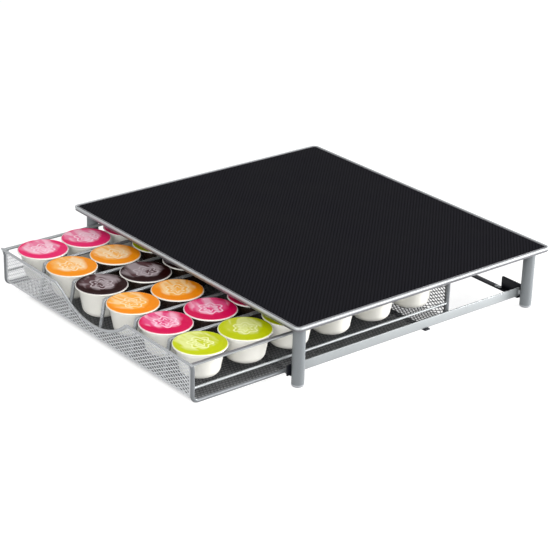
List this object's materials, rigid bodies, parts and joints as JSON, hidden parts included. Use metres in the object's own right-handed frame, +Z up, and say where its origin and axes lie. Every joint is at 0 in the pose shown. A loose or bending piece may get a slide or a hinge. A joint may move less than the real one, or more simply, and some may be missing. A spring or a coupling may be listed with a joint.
{
  "type": "coffee pod drawer",
  "caption": "Low stand with a flat non-slip top on tube legs, and under it a wire and mesh basket that slides out on two rails and holds coffee pods in lanes.",
  "frame": {"origin": "on the surface the part stands on, under the middle of its box with the drawer out as at rest", "axes": "+Z up, +Y towards the back of the stand, -Y the way the drawer opens, +X to the right seen from the front"},
  "size_m": [0.385, 0.449, 0.07],
  "materials": {
    "silver_paint": "silver-grey metallic powder paint, satin",
    "mesh_paint": "silver-grey metallic powder paint on expanded metal",
    "dark_paint": "black satin paint",
    "mat_rubber": "black, finely ribbed, matt",
    "cap_plastic": "grey moulded plastic",
    "cup_plastic": "cream-white moulded plastic, satin",
    "foil_pink": "pink lacquered foil",
    "foil_orange": "orange lacquered foil",
    "foil_brown": "dark brown lacquered foil",
    "foil_amber": "orange lacquered foil",
    "foil_magenta": "magenta lacquered foil",
    "foil_lime": "lime green lacquered foil"
  },
  "bodies": {
    "stand": {"top_rim": "silver_paint", "rim_flange": "silver_paint", "top_panel": "silver_paint", "top_mat": "mat_rubber", "leg_front_left": "silver_paint", "leg_front_right": "silver_paint", "leg_back_left": "silver_paint", "leg_back_right": "silver_paint", "foot_caps": "cap_plastic", "rail_left": "silver_paint", "rail_right": "silver_paint", "cross_strip_front": "dark_paint", "cross_strip_middle": "dark_paint", "cross_strip_back": "dark_paint", "front_bracket_left": "dark_paint", "front_bracket_right": "dark_paint", "back_bracket_left": "dark_paint", "back_bracket_right": "dark_paint"},
    "drawer": {"front_rim": "silver_paint", "back_rim": "silver_paint", "side_strip_left": "silver_paint", "side_strip_right": "silver_paint", "side_frame_left": "silver_paint", "side_frame_right": "silver_paint", "mid_wire_left": "silver_paint", "mid_wire_right": "silver_paint", "front_mesh": "mesh_paint", "floor_mesh": "mesh_paint", "back_mesh": "mesh_paint", "divider_1": "silver_paint", "divider_2": "silver_paint", "divider_3": "silver_paint", "divider_4": "silver_paint", "divider_5": "silver_paint", "pod_cups_1": "cup_plastic", "pod_cups_2": "cup_plastic", "pod_cups_3": "cup_plastic", "pod_cups_4": "cup_plastic", "pod_cups_5": "cup_plastic", "pod_cups_6": "cup_plastic", "pod_lids_1": "foil_pink", "pod_lids_2": "foil_orange", "pod_lids_3": "foil_brown", "pod_lids_4": "foil_amber", "pod_lids_5": "foil_magenta", "pod_lids_6": "foil_lime"}
  },
  "joints": [
    {"name": "drawer_slide", "type": "slide", "parent": "stand", "child": "drawer", "axis": [0, 1, 0], "range_m": [-0.15, 0.1023]}
  ]
}
